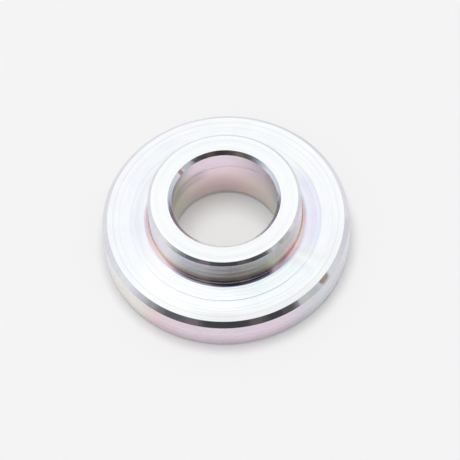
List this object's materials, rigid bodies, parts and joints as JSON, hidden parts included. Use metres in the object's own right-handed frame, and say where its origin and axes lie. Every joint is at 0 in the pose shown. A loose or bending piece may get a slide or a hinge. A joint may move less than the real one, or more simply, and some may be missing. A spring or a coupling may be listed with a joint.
{
  "type": "shoulder washer",
  "caption": "Thick round steel washer with a raised boss on one face and a plain bore, for centring and spacing a bolted joint.",
  "frame": {"origin": "centre of the flange's underside, on the bore's axis", "axes": "+Z along the bore's axis, from the flange towards the boss"},
  "size_m": [0.04, 0.04, 0.0124],
  "materials": {
    "plated_steel": "turned steel with bright clear zinc plating, faintly iridescent"
  },
  "bodies": {
    "root": {"shoulder_washer": "plated_steel"}
  },
  "joints": []
}
